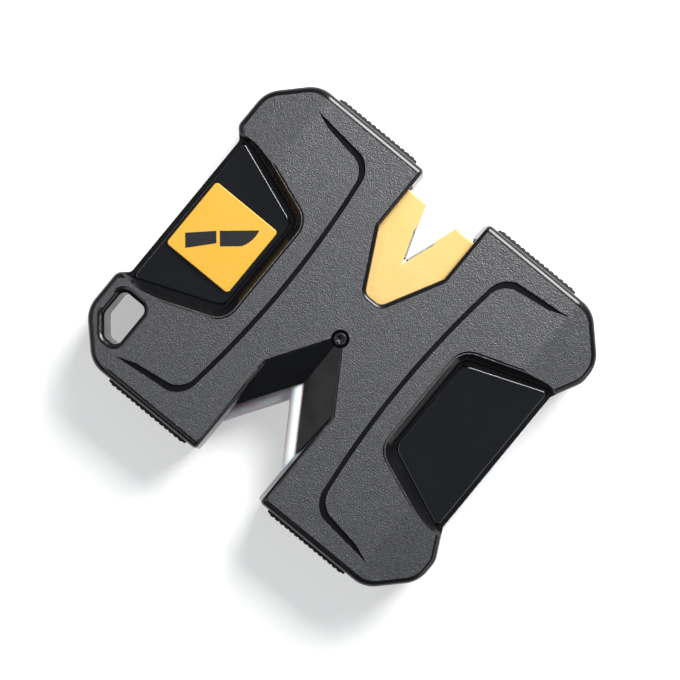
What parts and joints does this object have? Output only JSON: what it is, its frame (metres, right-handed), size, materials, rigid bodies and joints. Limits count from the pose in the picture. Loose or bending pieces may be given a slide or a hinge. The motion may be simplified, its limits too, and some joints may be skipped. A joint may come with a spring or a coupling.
{
  "type": "pull-through knife sharpener",
  "caption": "Pull-through knife sharpener: X-shaped moulded body, rocking guide with slanted diamond plates, crossed ceramic rods, exposed rod for serrations, rubber feet, lanyard hole.",
  "frame": {"origin": "middle of the rear face's bounding box: the sharpener lies on its rear face, origin on the resting plane", "axes": "+X across the body towards the edge with the serration rod, +Y towards the diamond slot, +Z out of the front face"},
  "size_m": [0.1082, 0.0926, 0.022],
  "materials": {
    "shell": "fine spark texture, satin",
    "panel": "polished black",
    "badge": "satin gold",
    "print": "flat dark print",
    "screw": "black oxide, satin",
    "ceramic": "unglazed fine white",
    "rubber": "matte ribbed",
    "guide": "satin gold, fine grain",
    "diamond": "electroplated grit",
    "steel": "ground"
  },
  "bodies": {
    "housing": {"front_shell": "shell", "rear_shell": "shell", "left_front_panel": "panel", "right_front_panel": "panel", "left_rear_panel": "panel", "right_rear_panel": "panel", "badge_plate": "badge", "badge_print": "print", "centre_screw": "screw", "front_ceramic_rod": "ceramic", "rear_ceramic_rod": "ceramic", "serration_rod": "ceramic", "upper_left_foot": "rubber", "upper_right_foot": "rubber", "lower_left_foot": "rubber", "lower_right_foot": "rubber"},
    "guide": {"front_guide": "guide", "rear_guide": "guide", "left_diamond_plate": "diamond", "right_diamond_plate": "diamond", "left_pivot_pin": "steel", "right_pivot_pin": "steel"}
  },
  "joints": [
    {"name": "guide_rock", "type": "hinge", "parent": "housing", "child": "guide", "pos_m": [0, 0.0245, 0.011], "axis": [1, 0, 0], "range_deg": [-6, 6]}
  ]
}
